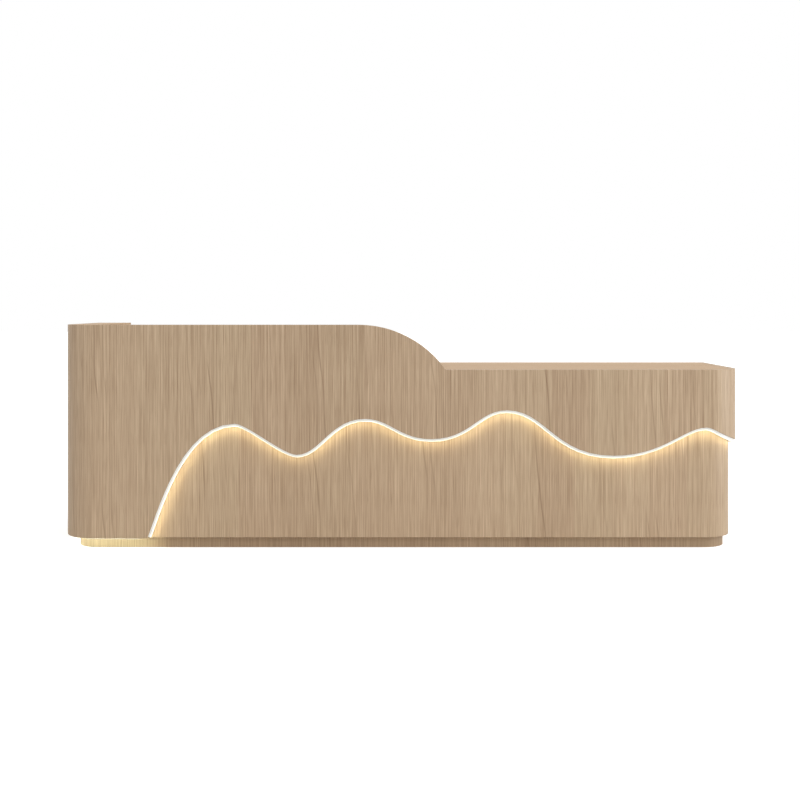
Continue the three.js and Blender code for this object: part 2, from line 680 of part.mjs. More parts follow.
// One leaf of the hinge: a strip with every second knuckle rolled on it
function hingeLeaf(side, offset, first) {
  const faces = [doorMiddle + side * offset, doorMiddle + side * (offset - LEAF)];
  const across = faces.sort((a, b) => a - b);
  const strip = board(across, [STAFF_FACE - LEAF_WIDTH, STAFF_FACE], [DOOR_LOW, DOOR_HIGH]);
  const pitch = (DOOR_HIGH - DOOR_LOW) / KNUCKLES;
  const rolled = [];
  for (let k = first; k < KNUCKLES; k += 2) {
    const low = DOOR_LOW + k * pitch + GAP;
    const high = low + pitch - 2 * GAP;
    const ring = [
      [KNUCKLE_BORE, low],
      [KNUCKLE_RADIUS, low],
      [KNUCKLE_RADIUS, high],
      [KNUCKLE_BORE, high],
      [KNUCKLE_BORE, low],
    ];
    rolled.push(board(across, [STAFF_FACE - LEAF, tongueEnd], [low, high]));
    rolled.push(turned(ring, doorMiddle + side * hingeAxis, hingeY, ROUND_STEPS));
  }
  return join(strip, ...rolled);
}

for (const [hand, side] of Object.entries(SIDES)) {
  const pin = [
    [0, DOOR_LOW],
    [PIN_RADIUS, DOOR_LOW],
    [PIN_RADIUS, DOOR_HIGH],
    [0, DOOR_HIGH],
  ];
  add(`${hand}_door`, doorBoard(side), OAK);
  add(`${hand}_hinge_frame_leaf`, hingeLeaf(side, frameLeaf, 0), STEEL);
  add(`${hand}_hinge_door_leaf`, hingeLeaf(side, doorLeaf, 1), STEEL);
  add(`${hand}_hinge_pin`, turned(pin, doorMiddle + side * hingeAxis, hingeY, ROUND_STEPS), STEEL);
}

// Lamp driver: a case with two screw ears on the inside of the front panel
const earReach = DRIVER.length / 2 + DRIVER.ear;
const driverSpan = [DRIVER.z - DRIVER.height / 2, DRIVER.z + DRIVER.height / 2];
const earPlate = outlineOf([
  [DRIVER.x - earReach, driverSpan[0]],
  [DRIVER.x + earReach, driverSpan[0]],
  [DRIVER.x + earReach, driverSpan[1]],
  [DRIVER.x - earReach, driverSpan[1]],
]);
for (const side of Object.values(SIDES)) {
  const hole = new THREE.Path();
  hole.absarc(DRIVER.x + side * (earReach - DRIVER.ear / 2), DRIVER.z, DRIVER.hole, 0, 2 * Math.PI);
  earPlate.holes.push(hole);
}
const driverWidth = [DRIVER.x - DRIVER.length / 2, DRIVER.x + DRIVER.length / 2];
const driverCase = board(driverWidth, [behindScreen, behindScreen + DRIVER.depth], driverSpan);
const ears = uprightBoard(earPlate, behindScreen, behindScreen + DRIVER.earThickness);
add('led_driver', join(driverCase, ears), ALUMINIUM);

export default desk;
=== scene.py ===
# A reception desk in satin oak veneer. A bent skin with a wave-cut lower edge wraps a plain lower panel,
# a line of warm light follows the wave, and the staff side has drawers, doors, shelves and a tray.
import math

import bmesh
import bpy
from mathutils import Matrix, Vector


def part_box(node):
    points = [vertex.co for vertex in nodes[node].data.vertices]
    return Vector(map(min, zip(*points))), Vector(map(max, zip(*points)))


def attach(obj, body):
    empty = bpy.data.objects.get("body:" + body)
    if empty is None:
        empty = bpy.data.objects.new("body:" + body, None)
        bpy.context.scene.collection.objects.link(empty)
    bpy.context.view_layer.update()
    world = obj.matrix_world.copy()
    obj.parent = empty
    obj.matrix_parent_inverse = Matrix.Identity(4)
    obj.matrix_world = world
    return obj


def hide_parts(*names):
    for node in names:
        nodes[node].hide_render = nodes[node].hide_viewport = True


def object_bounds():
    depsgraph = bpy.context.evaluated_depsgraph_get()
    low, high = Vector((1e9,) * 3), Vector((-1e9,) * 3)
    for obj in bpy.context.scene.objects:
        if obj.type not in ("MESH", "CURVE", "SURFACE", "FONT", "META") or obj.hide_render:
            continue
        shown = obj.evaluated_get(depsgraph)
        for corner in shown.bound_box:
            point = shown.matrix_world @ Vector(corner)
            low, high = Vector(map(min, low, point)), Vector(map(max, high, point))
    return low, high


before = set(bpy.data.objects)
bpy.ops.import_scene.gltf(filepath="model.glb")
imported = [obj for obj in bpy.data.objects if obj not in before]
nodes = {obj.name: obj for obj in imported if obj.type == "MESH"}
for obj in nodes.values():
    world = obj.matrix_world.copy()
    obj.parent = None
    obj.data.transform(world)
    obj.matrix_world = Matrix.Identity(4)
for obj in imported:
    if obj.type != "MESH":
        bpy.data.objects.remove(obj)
cad_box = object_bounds()
scene = bpy.context.scene

# Camera
# A level camera stands a little over four and a half metres in front of the desk, just higher than its tall
# end. Its frame is shifted down and not tilted, so that the uprights stay upright.
EYE = (-0.0069, -4.982, 1.081)
SENSOR = 36.0
LENS = 47.25
VIEW_DROP = -0.11675

lens = bpy.data.cameras.new("camera")
lens.sensor_width = SENSOR
lens.lens = LENS
lens.shift_y = VIEW_DROP
camera = bpy.data.objects.new("camera", lens)
camera.location = EYE
camera.rotation_euler = (math.pi / 2, 0, 0)
scene.collection.objects.link(camera)
scene.camera = camera
scene.view_settings.view_transform = "Standard"

# Skin
# One veneered board bent round both ends: a tall screen on the left, a round shoulder, a low front on the
# right, and a lower edge cut to a wave. The sheets of oak stand upright and run on round the corners.
WELD = 0.0005
FLAT = math.radians(1)
SHARP = math.radians(40)
EVEN_WEIGHT = 100
CORNER_RADIUS = 0.160
CORNER_ARC = CORNER_RADIUS * math.pi / 2
SKIN_EASE = 0.0012
SKIN_SHEETS = 0.0
desk_low, desk_high = (Vector(corner) for corner in cad_box)
FRONT_HALF = desk_high.x - CORNER_RADIUS
BEND_Y = desk_low.y + CORNER_RADIUS


def copy_of(*names):
    shape = bmesh.new()
    for name in names:
        shape.from_mesh(nodes[name].data)
    bmesh.ops.remove_doubles(shape, verts=shape.verts, dist=WELD)
    return shape


def open_seams(shape, planes):
    """Takes out the end faces where two lengths of one board meet."""
    ends = []
    for face in shape.faces:
        for plane in planes:
            if all(abs(corner.co.x - plane) < WELD for corner in face.verts):
                ends.append(face)
                break
    bmesh.ops.delete(shape, geom=ends, context="FACES")


def ease_edges(shape, radius):
    """Joins flat triangles into whole faces, then rounds the sharp outer edges as a sander does."""
    bmesh.ops.dissolve_limit(shape, angle_limit=FLAT, verts=shape.verts, edges=shape.edges)
    sharp = [edge for edge in shape.edges if edge.is_manifold and edge.calc_face_angle_signed() > SHARP]
    bmesh.ops.bevel(shape, geom=sharp, offset=radius, offset_type="OFFSET", affect="EDGES",
                    segments=2, profile=0.5, material=-1, clamp_overlap=False)


def run_along(point):
    """Distance round the skin from the middle of the front, so that the veneer follows the bends."""
    past = abs(point.x) - FRONT_HALF
    if past <= 0:
        return point.x
    if point.y < BEND_Y:
        reach = FRONT_HALF + CORNER_RADIUS * math.atan2(past, BEND_Y - point.y)
    else:
        reach = FRONT_HALF + CORNER_ARC + point.y - BEND_Y
    return math.copysign(reach, point.x)


def lay_bent_veneer(shape, shift):
    """Upright sheets of veneer that run on round the bends, shifted so that the skin and panel differ."""
    sheet = shape.loops.layers.uv.new("grain")
    for face in shape.faces:
        for loop in face.loops:
            loop[sheet].uv = (run_along(loop.vert.co) + shift, loop.vert.co.z + shift)


def new_finish(name):
    finish = bpy.data.materials.new(name)
    finish.use_nodes = True
    return finish, finish.node_tree, finish.node_tree.nodes["Principled BSDF"]


def add_node(tree, kind, **settings):
    made = tree.nodes.new(kind)
    for name, value in settings.items():
        setattr(made, name, value)
    return made


def plug(tree, target, value):
    if isinstance(value, bpy.types.NodeSocket):
        tree.links.new(value, target)
    else:
        target.default_value = value


def calc(tree, operation, *values, clamp=False):
    made = add_node(tree, "ShaderNodeMath", operation=operation, use_clamp=clamp)
    for target, value in zip(made.inputs, values):
        plug(tree, target, value)
    return made.outputs["Value"]


FIRST_COLOUR = 6
SECOND_COLOUR = 7
MIXED_COLOUR = 2


def blend(tree, share, first, second):
    made = add_node(tree, "ShaderNodeMix", data_type="RGBA")
    plug(tree, made.inputs["Factor"], share)
    plug(tree, made.inputs[FIRST_COLOUR], first)
    plug(tree, made.inputs[SECOND_COLOUR], second)
    return made.outputs[MIXED_COLOUR]


def fade(tree, value, start, end):
    made = add_node(tree, "ShaderNodeMapRange", interpolation_type="SMOOTHSTEP")
    plug(tree, made.inputs["Value"], value)
    made.inputs["From Min"].default_value = start
    made.inputs["From Max"].default_value = end
    return made.outputs["Result"]


def mottle(tree, place, scale, detail):
    """Soft random tone, stretched by scale = how many patches there are in a metre along each axis."""
    stretched = add_node(tree, "ShaderNodeMapping")
    plug(tree, stretched.inputs["Vector"], place)
    stretched.inputs["Scale"].default_value = scale
    noise = add_node(tree, "ShaderNodeTexNoise")
    noise.inputs["Scale"].default_value = 1.0
    noise.inputs["Detail"].default_value = detail
    plug(tree, noise.inputs["Vector"], stretched.outputs["Vector"])
    return noise.outputs["Fac"]


def raise_surface(tree, shader, height, strength, depth):
    bump = add_node(tree, "ShaderNodeBump")
    bump.inputs["Strength"].default_value = strength
    bump.inputs["Distance"].default_value = depth
    plug(tree, bump.inputs["Height"], height)
    plug(tree, shader.inputs["Normal"], bump.outputs["Normal"])


# The figure of the oak. Widths are in metres, and streaks and pores are patches to the metre across and
# along the grain. A share says how much each of them counts.
PLAIN, FINE, FINEST = 1.0, 2.0, 3.0
SHEET_WIDTH = 0.502
SHEET_LINE_SHARE = 0.46
SIDE_LINE_WIDTH = 0.187
SIDE_LINE_SHARE = 0.24
LINE_SLOPE = (0.3, 1.6, 1)
LINE_SWAY = 0.11
LINE_LEAN = 0.065
LINE_CORE = 0.0010
LINE_EDGE = 0.0044
LINE_BREAK = (5, 1.5, 1)
BREAK_START = 0.44
BREAK_END = 0.56
LEAF_WIDTH = 0.167
LEAF_SHARE = 0.13
LEAF_TINTS = 7.0
GREENER = (0.985, 1.014, 1.000, 1)
LONG_STREAK = (250, 0.5, 1)
LONG_SHARE = 1.20
SHORT_STREAK = (290, 4.6, 1)
SHORT_SHARE = 1.05
BROAD_STREAK = (42, 0.5, 1)
BROAD_SHARE = 0.20
DARKEST_TONE = 0.79
PORE = (760, 9, 1)
PORE_RIM = 0.40
PORE_FLOOR = 0.28
PORE_SHARE = 0.40
SATIN = 0.54
PALE_POLISH = 0.14
GRAIN_STRENGTH = 0.12
GRAIN_DEPTH = 0.0004


def figure_line(tree, sheet, across, height, spacing, share):
    """Long dark growth lines, one to each spacing, that lean, fade out and start again."""
    sway = calc(tree, "MULTIPLY", mottle(tree, sheet, LINE_SLOPE, PLAIN), LINE_SWAY)
    leaning = calc(tree, "MULTIPLY_ADD", height, LINE_LEAN, sway)
    swayed = calc(tree, "DIVIDE", calc(tree, "ADD", across, leaning), spacing)
    off_line = calc(tree, "ABSOLUTE", calc(tree, "SUBTRACT", calc(tree, "FRACT", swayed), 0.5))
    on_line = fade(tree, calc(tree, "MULTIPLY", off_line, spacing), LINE_EDGE, LINE_CORE)
    broken = fade(tree, mottle(tree, sheet, LINE_BREAK, PLAIN), BREAK_START, BREAK_END)
    return calc(tree, "MULTIPLY", calc(tree, "MULTIPLY", on_line, broken), share)


def oak_finish(name, pale, dark, line, gloss):
    """Oak in narrow leaves: fine streaks between two tones, growth lines, open pores, and a satin lacquer."""
    finish, tree, shader = new_finish(name)
    sheet = add_node(tree, "ShaderNodeUVMap", uv_map="grain").outputs["UV"]
    split = add_node(tree, "ShaderNodeSeparateXYZ")
    plug(tree, split.inputs["Vector"], sheet)
    across, height = split.outputs["X"], split.outputs["Y"]
    leaf = add_node(tree, "ShaderNodeTexWhiteNoise", noise_dimensions="1D")
    plug(tree, leaf.inputs["W"], calc(tree, "FLOOR", calc(tree, "DIVIDE", across, LEAF_WIDTH)))
    tone = calc(tree, "MULTIPLY", mottle(tree, sheet, LONG_STREAK, FINEST), LONG_SHARE)
    tone = calc(tree, "MULTIPLY_ADD", mottle(tree, sheet, SHORT_STREAK, FINE), SHORT_SHARE, tone)
    tone = calc(tree, "MULTIPLY_ADD", mottle(tree, sheet, BROAD_STREAK, FINE), BROAD_SHARE, tone)
    tone = calc(tree, "MULTIPLY_ADD", leaf.outputs["Value"], LEAF_SHARE, tone)
    tone = calc(tree, "SUBTRACT", tone, DARKEST_TONE, clamp=True)
    tint = calc(tree, "FRACT", calc(tree, "MULTIPLY", leaf.outputs["Value"], LEAF_TINTS))
    greener = [channel * share for channel, share in zip(pale, GREENER)]
    colour = blend(tree, tone, dark, blend(tree, tint, pale, greener))
    for spacing, share in ((SHEET_WIDTH, SHEET_LINE_SHARE), (SIDE_LINE_WIDTH, SIDE_LINE_SHARE)):
        colour = blend(tree, figure_line(tree, sheet, across, height, spacing, share), colour, line)
    pores = fade(tree, mottle(tree, sheet, PORE, PLAIN), PORE_RIM, PORE_FLOOR)
    pores = calc(tree, "MULTIPLY", pores, PORE_SHARE)
    plug(tree, shader.inputs["Base Color"], blend(tree, pores, colour, line))
    plug(tree, shader.inputs["Roughness"], calc(tree, "MULTIPLY_ADD", tone, -PALE_POLISH, SATIN))
    shader.inputs["Specular IOR Level"].default_value = gloss
    raise_surface(tree, shader, calc(tree, "SUBTRACT", tone, pores), GRAIN_STRENGTH, GRAIN_DEPTH)
    return finish


def finish_piece(name, shape, finish, slot, body, *replaced):
    """Turns a shape into a piece of the desk that stands for CAD nodes and rides on a body."""
    bmesh.ops.recalc_face_normals(shape, faces=shape.faces)
    for face in shape.faces:
        face.smooth = True
    mesh = bpy.data.meshes.new(name)
    shape.to_mesh(mesh)
    shape.free()
    mesh.materials.append(finish)
    piece = bpy.data.objects.new(name, mesh)
    scene.collection.objects.link(piece)
    evened = piece.modifiers.new("evened normals", "WEIGHTED_NORMAL")
    evened.weight = EVEN_WEIGHT
    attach(piece, body)
    if replaced:
        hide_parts(*replaced)


OAK_PALE = (0.640, 0.482, 0.332, 1)
OAK_DARK = (0.295, 0.192, 0.116, 1)
OAK_LINE = (0.200, 0.120, 0.068, 1)
OAK_GLOSS = 0.10
oak = oak_finish("oak_veneer_upright", OAK_PALE, OAK_DARK, OAK_LINE, OAK_GLOSS)

skin_nodes = ("wave_fascia", "left_corner_skin", "right_corner_skin")
skin = copy_of(*skin_nodes)
open_seams(skin, (-FRONT_HALF, FRONT_HALF))
ease_edges(skin, SKIN_EASE)
lay_bent_veneer(skin, SKIN_SHEETS)
finish_piece("wave_skin", skin, oak, "oak_veneer", "desk", *skin_nodes)

# Lower panel
# The plain veneered panel behind the wave. It backs the tall screen up to its top edge, and bends round the
# right end under the worktop.
PANEL_EASE = 0.0010
PANEL_SHEETS = 0.06

panel_nodes = ("front_panel", "front_panel_right_end")
panel = copy_of(*panel_nodes)
open_seams(panel, (FRONT_HALF,))
ease_edges(panel, PANEL_EASE)
lay_bent_veneer(panel, PANEL_SHEETS)
finish_piece("lower_panel", panel, oak, "oak_veneer", "desk", *panel_nodes)

# Line of light
# An aluminium channel let into the skin's edge, a tape of small lamps on its floor, and an opal cover that
# stands out as a soft white line. A second one under the tall end washes the plinth.
ALUMINIUM_PALE = (0.66, 0.67, 0.68, 1)
ALUMINIUM_DARK = (0.47, 0.48, 0.50, 1)
ALUMINIUM_ROUGHNESS = (0.28, 0.44)
ALUMINIUM_BRUSH = (1400, 25, 1400)
BRUSH_STRENGTH = 0.06
BRUSH_DEPTH = 0.0002
OPAL = (0.575, 0.575, 0.56, 1)
OPAL_GLOW = (1.0, 0.985, 0.88, 1)
OPAL_STRENGTH = 0.20
TAPE = (0.90, 0.88, 0.80, 1)
TAPE_GLOW = (1.0, 0.88, 0.60, 1)
TAPE_STRENGTH = 0.8
SPARKLE = (260, 260, 260)
SPARKLE_SHARE = 0.2
LIT_SATIN = 0.35


def object_place(tree):
    return add_node(tree, "ShaderNodeTexCoord").outputs["Object"]


def metal_finish(name, pale, dark, brushing, roughness):
    finish, tree, shader = new_finish(name)
    smooth, rough = roughness
    lines = mottle(tree, object_place(tree), brushing, FINE)
    plug(tree, shader.inputs["Base Color"], blend(tree, lines, dark, pale))
    plug(tree, shader.inputs["Roughness"], calc(tree, "MULTIPLY_ADD", lines, rough - smooth, smooth))
    shader.inputs["Metallic"].default_value = 1.0
    raise_surface(tree, shader, lines, BRUSH_STRENGTH, BRUSH_DEPTH)
    return finish


def glow_finish(name, base, glow, strength):
    finish, tree, shader = new_finish(name)
    cloud = mottle(tree, object_place(tree), SPARKLE, PLAIN)
    shader.inputs["Base Color"].default_value = base
    shader.inputs["Emission Color"].default_value = glow
    shining = calc(tree, "MULTIPLY_ADD", cloud, SPARKLE_SHARE, strength)
    plug(tree, shader.inputs["Emission Strength"], shining)
    plug(tree, shader.inputs["Roughness"], calc(tree, "MULTIPLY_ADD", cloud, SPARKLE_SHARE, LIT_SATIN))
    return finish


def coat_node(name, finish):
    for layer in nodes[name].material_slots:
        layer.material = finish


aluminium = metal_finish("anodised_aluminium", ALUMINIUM_PALE, ALUMINIUM_DARK, ALUMINIUM_BRUSH,
                         ALUMINIUM_ROUGHNESS)
opal = glow_finish("opal_cover_lit", OPAL, OPAL_GLOW, OPAL_STRENGTH)
lamp_tape = glow_finish("lamp_tape_lit", TAPE, TAPE_GLOW, TAPE_STRENGTH)
for run in ("wave", "base"):
    coat_node(f"led_channel_{run}", aluminium)
    coat_node(f"led_diffuser_{run}", opal)
coat_node("led_tape_wave", lamp_tape)

# The light itself, as short lamps along the edge. Power is in watts to the metre, and a lamp hangs below the
# edge by its drop.
WAVE_COLOUR = (0.93, 0.88, 0.58)
WAVE_POWER = 0.262
WAVE_DROP = 0.0145
WAVE_FOOT = -1.131
ABOVE_WAVE = 0.7
BASE_COLOUR = (0.78, 0.94, 0.74)
BASE_POWER = 0.51
BASE_DROP = 0.005
BASE_OVERLAP = 0.01
ABOVE_BASE = 0.06
PLINTH_TOP = 0.05
LAMP_WIDTH = 0.006
LAMP_INSET = 0.0035
LAMP_TILT = math.radians(52)
DECIMALS = 4


def from_bend(point):
    """How far a point lies sideways and forwards of the line about which the nearest corner bends."""
    return max(abs(point.x) - FRONT_HALF, 0), max(BEND_Y - point.y, 0)


def area_lamp(name, width, height, power, colour):
    """A flat lamp that lights the desk and isn't seen itself."""
    lamp = bpy.data.lights.new(name, "AREA")
    lamp.shape = "RECTANGLE"
    lamp.size = width
    lamp.size_y = height
    lamp.energy = power
    lamp.color = colour
    holder = bpy.data.objects.new(name, lamp)
    holder.visible_camera = False
    scene.collection.objects.link(holder)
    return holder


def lamp_between(name, start, end, drop, colour, power):
    """One short length of the light line: it shines down from the edge that carries it, and inwards."""
    middle = (start + end) / 2
    past, ahead = from_bend(middle)
    outward = Vector((math.copysign(past, middle.x), -ahead, 0)).normalized()
    along = end - start
    length = along.length
    along.normalize()
    down = outward.cross(along).normalized()
    if down.z > 0:
        down = -down
    centre = middle - outward * LAMP_INSET + down * drop
    back = -down * math.cos(LAMP_TILT) + outward * math.sin(LAMP_TILT)
    turn = Matrix((along, back.cross(along), back)).transposed().to_4x4()
    holder = area_lamp(name, length, LAMP_WIDTH, power * length, colour)
    holder.matrix_world = Matrix.Translation(centre) @ turn


def light_edge(name, edge, drop, colour, power):
    for number, (start, end) in enumerate(zip(edge, edge[1:])):
        lamp_between(f"{name}_{number}", start, end, drop, colour, power)


def outer_edge(name, below):
    """Corner points of a skin board's lower edge on its outer face, in order round the desk."""
    found = {}
    for corner in nodes[name].data.vertices:
        point = corner.co
        if abs(math.hypot(*from_bend(point)) - CORNER_RADIUS) < WELD and point.z < below:
            found.setdefault(round(run_along(point), DECIMALS), point.copy())
    return [found[along] for along in sorted(found)]


wave_edge = [point for point in outer_edge("wave_fascia", ABOVE_WAVE) if point.x > WAVE_FOOT]
wave_edge += outer_edge("right_corner_skin", ABOVE_WAVE)
light_edge("wave_lamp", wave_edge, WAVE_DROP, WAVE_COLOUR, WAVE_POWER)
base_edge = outer_edge("left_corner_skin", ABOVE_BASE)
base_edge.append(Vector((WAVE_FOOT + BASE_OVERLAP, desk_low.y, PLINTH_TOP)))
light_edge("base_lamp", base_edge, BASE_DROP, BASE_COLOUR, BASE_POWER)

# Plinth
# Oak-faced skirts set back under the desk all round, so that the body stands clear of the floor. Their veneer
# is the skin's oak painted a little darker, as painted shade for the recess under the desk, and it follows
# the bends in the same way.
PLINTH_EASE = 0.0008
PLINTH_SHEETS = 0.13
# Painted shade: these tones are the skin's oak made darker, standing for the shade in the recess under the
# desk.
PLINTH_PALE_SHADED = (0.560, 0.406, 0.269, 1)
PLINTH_DARK_SHADED = (0.242, 0.156, 0.093, 1)
plinth_oak_painted_shade = oak_finish("oak_plinth_painted_shade", PLINTH_PALE_SHADED, PLINTH_DARK_SHADED, OAK_LINE, OAK_GLOSS)

for name in ("plinth_skirt", "plinth_rear_skirt", "end_plinth_rail"):
    skirt = copy_of(name)
    ease_edges(skirt, PLINTH_EASE)
    lay_bent_veneer(skirt, PLINTH_SHEETS)
    finish_piece(name + "_board", skirt, plinth_oak_painted_shade, "plinth_board", "desk", name)

# Worktop and wall cap
# Thicker oak-faced tops with the grain along the desk: the low counter, and the cap that closes the hollow
# end wall. Their edges are lipped and eased.
TOP_EASE = 0.0015
WORKTOP_SHEETS = 0.21
CAP_SHEETS = 0.87
# Painted light: the level oak is the upright oak made lighter, standing for the light that falls on the tops.
TOP_PALE_LIT = (0.635, 0.446, 0.277, 1)
TOP_DARK_LIT = (0.381, 0.249, 0.147, 1)
TOP_LINE_LIT = (0.270, 0.170, 0.100, 1)
TOP_GLOSS = 0.04
X_AXIS, Z_AXIS = 0, 2
oak_top = oak_finish("oak_veneer_level_painted_light", TOP_PALE_LIT, TOP_DARK_LIT, TOP_LINE_LIT, TOP_GLOSS)


def lay_flat_veneer(shape, grain, shift):
    """Sheets of veneer on a flat board, with the grain along one axis on every face that shows it."""
    sheet = shape.loops.layers.uv.new("grain")
    for face in shape.faces:
        facing = max(range(3), key=lambda axis: abs(face.normal[axis]))
        flat = [axis for axis in range(3) if axis != facing]
        along = grain if grain in flat else flat[1]
        across = flat[0] if along == flat[1] else flat[1]
        for loop in face.loops:
            point = loop.vert.co
            loop[sheet].uv = (point[across] + shift, point[along] + shift)


def wooden_board(name, finish, slot, body, grain, ease, shift=0.0):
    shape = copy_of(name)
    ease_edges(shape, ease)
    lay_flat_veneer(shape, grain, shift)
    finish_piece(name + "_board", shape, finish, slot, body, name)


wooden_board("worktop", oak_top, "oak_top", "desk", X_AXIS, TOP_EASE, WORKTOP_SHEETS)
wooden_board("end_wall_top_cap", oak_top, "oak_top", "desk", X_AXIS, TOP_EASE, CAP_SHEETS)

# Cable outlet
# A moulded plastic sleeve pushed through the worktop, with a flat flush rim rounded on both edges. Leads go
# down through it to the staff side.
PLASTIC_PALE = (0.050, 0.050, 0.052, 1)
PLASTIC_DARK = (0.026, 0.026, 0.028, 1)
PLASTIC_SATIN = 0.38
MOULDED_GRAIN = (1800, 1800, 1800)
ORANGE_PEEL = 0.2
PEEL_STRENGTH = 0.10
PEEL_DEPTH = 0.0003
BORE = 0.030
SLEEVE = 0.032
RIM_THICK = 0.003
RIM_EASE = 0.0008
OUTLET_STEPS = 48
TURNED_WELD = 0.00005


def plastic_finish(name, pale, dark):
    finish, tree, shader = new_finish(name)
    grain = mottle(tree, object_place(tree), MOULDED_GRAIN, PLAIN)
    plug(tree, shader.inputs["Base Color"], blend(tree, grain, dark, pale))
    plug(tree, shader.inputs["Roughness"], calc(tree, "MULTIPLY_ADD", grain, ORANGE_PEEL, PLASTIC_SATIN))
    raise_surface(tree, shader, grain, PEEL_STRENGTH, PEEL_DEPTH)
    return finish


def box_of(name):
    low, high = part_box(name)
    return Vector(low), Vector(high)


def turned_shape(profile, closed, steps):
    """A profile of (radius, height) spun once round an upright axis through the origin."""
    shape = bmesh.new()
    corners = [shape.verts.new((radius, 0, height)) for radius, height in profile]
    nexts = corners[1:] + corners[:1] if closed else corners[1:]
    edges = [shape.edges.new(pair) for pair in zip(corners, nexts)]
    bmesh.ops.spin(shape, geom=corners + edges, cent=(0, 0, 0), axis=(0, 0, 1), angle=2 * math.pi,
                   steps=steps, use_merge=True)
    bmesh.ops.remove_doubles(shape, verts=shape.verts, dist=TURNED_WELD)
    bmesh.ops.recalc_face_normals(shape, faces=shape.faces)
    return shape


dark_plastic = plastic_finish("moulded_dark_plastic", PLASTIC_PALE, PLASTIC_DARK)
rim_low, rim_high = box_of("cable_grommet")
rim_radius = (rim_high.x - rim_low.x) / 2
outlet = turned_shape([
    (BORE, rim_low.z),
    (SLEEVE, rim_low.z),
    (SLEEVE, rim_high.z - RIM_THICK),
    (rim_radius, rim_high.z - RIM_THICK),
    (rim_radius, rim_high.z),
    (BORE, rim_high.z),
], True, OUTLET_STEPS)
outlet_place = ((rim_low.x + rim_high.x) / 2, (rim_low.y + rim_high.y) / 2, 0)
bmesh.ops.translate(outlet, verts=outlet.verts, vec=outlet_place)
round_edges = [edge for edge in outlet.edges if edge.calc_face_angle_signed() > SHARP]
bmesh.ops.bevel(outlet, geom=round_edges, offset=RIM_EASE, offset_type="OFFSET", affect="EDGES",
                segments=3, profile=0.5, material=-1, clamp_overlap=True)
finish_piece("cable_outlet_rim", outlet, dark_plastic, "dark_plastic", "desk", "cable_grommet")

# End wall
# The hollow wall at the left end: oak-faced boards with upright sheets on the inside and the back. They stand
# on a bottom board, and the cap closes them.
BOARD_EASE = 0.0010
INNER_SHEETS = 0.33
BACK_SHEETS = 0.71
wooden_board("end_wall_inner_panel", oak, "oak_veneer", "desk", Z_AXIS, BOARD_EASE, INNER_SHEETS)
wooden_board("end_wall_back_panel", oak, "oak_veneer", "desk", Z_AXIS, BOARD_EASE, BACK_SHEETS)

# Cabinets
# The carcass behind the panel: a base board, three gables and two shelves in pale laminate, with thin glued
# edgings. The bottom of the end wall is the same board.
LAMINATE_PALE = (0.74, 0.70, 0.61, 1)
LAMINATE_DARK = (0.63, 0.59, 0.50, 1)
LAMINATE_SATIN = 0.48
LAMINATE_CLOUD = (7, 7, 7)
LAMINATE_GRAIN = (1500, 1500, 1500)
CARCASS_EASE = 0.0006


def laminate_finish(name, pale, dark):
    finish, tree, shader = new_finish(name)
    place = object_place(tree)
    cloud = mottle(tree, place, LAMINATE_CLOUD, FINEST)
    grain = mottle(tree, place, LAMINATE_GRAIN, PLAIN)
    tone = calc(tree, "DIVIDE", calc(tree, "ADD", cloud, grain), 2)
    plug(tree, shader.inputs["Base Color"], blend(tree, tone, dark, pale))
    plug(tree, shader.inputs["Roughness"], calc(tree, "MULTIPLY_ADD", grain, ORANGE_PEEL, LAMINATE_SATIN))
    raise_surface(tree, shader, grain, PEEL_STRENGTH, PEEL_DEPTH)
    return finish


laminate = laminate_finish("pale_laminate", LAMINATE_PALE, LAMINATE_DARK)
for name in ("end_wall_bottom", "base_board", "gable_left", "gable_middle", "gable_right",
             "cabinet_shelf", "open_bay_shelf"):
    wooden_board(name, laminate, "carcass_board", "desk", Z_AXIS, CARCASS_EASE)

# Shelf pins
# Turned steel pins pushed into the gables, with a collar against the board. Each of the two shelves lies on
# two pins at either end.
ZINC_PALE = (0.52, 0.54, 0.57, 1)
ZINC_DARK = (0.36, 0.38, 0.40, 1)
ZINC_ROUGHNESS = (0.30, 0.48)
ZINC_BRUSH = (900, 18, 900)
PIN = ((0, -0.006), (0.0025, -0.006), (0.0025, 0), (0.0045, 0), (0.0045, 0.0012), (0.0028, 0.0016),
       (0.0028, 0.0085), (0.0022, 0.0092), (0, 0.0092))
STUD_STEPS = 18
PIN_FROM_EDGE = 0.09
PIN_DROP = 0.0031
zinc = metal_finish("zinc_plated_steel", ZINC_PALE, ZINC_DARK, ZINC_BRUSH, ZINC_ROUGHNESS)


def stamp(name, stud, places, facing):
    """The same small steel fixing at each place, standing out along facing."""
    turn = Vector(facing).to_track_quat("Z", "Y").to_matrix().to_4x4()
    row = bmesh.new()
    pattern = bpy.data.meshes.new(name)
    for place in places:
        single = stud.copy()
        bmesh.ops.transform(single, matrix=Matrix.Translation(place) @ turn, verts=single.verts)
        single.to_mesh(pattern)
        single.free()
        row.from_mesh(pattern)
    bpy.data.meshes.remove(pattern)
    finish_piece(name, row, zinc, "steel", "desk")


pin = turned_shape(PIN, False, STUD_STEPS)
for shelf in ("cabinet_shelf", "open_bay_shelf"):
    low, high = box_of(shelf)
    shelf_middle = (max(low.y, BEND_Y) + high.y) / 2
    shelf_reach = (high.y - max(low.y, BEND_Y)) / 2 - PIN_FROM_EDGE
    for hand, x, facing in (("left", low.x, (1, 0, 0)), ("right", high.x, (-1, 0, 0))):
        places = [(x, shelf_middle + side * shelf_reach, low.z - PIN_DROP) for side in (-1, 1)]
        stamp(f"{shelf}_pins_{hand}", pin, places, facing)

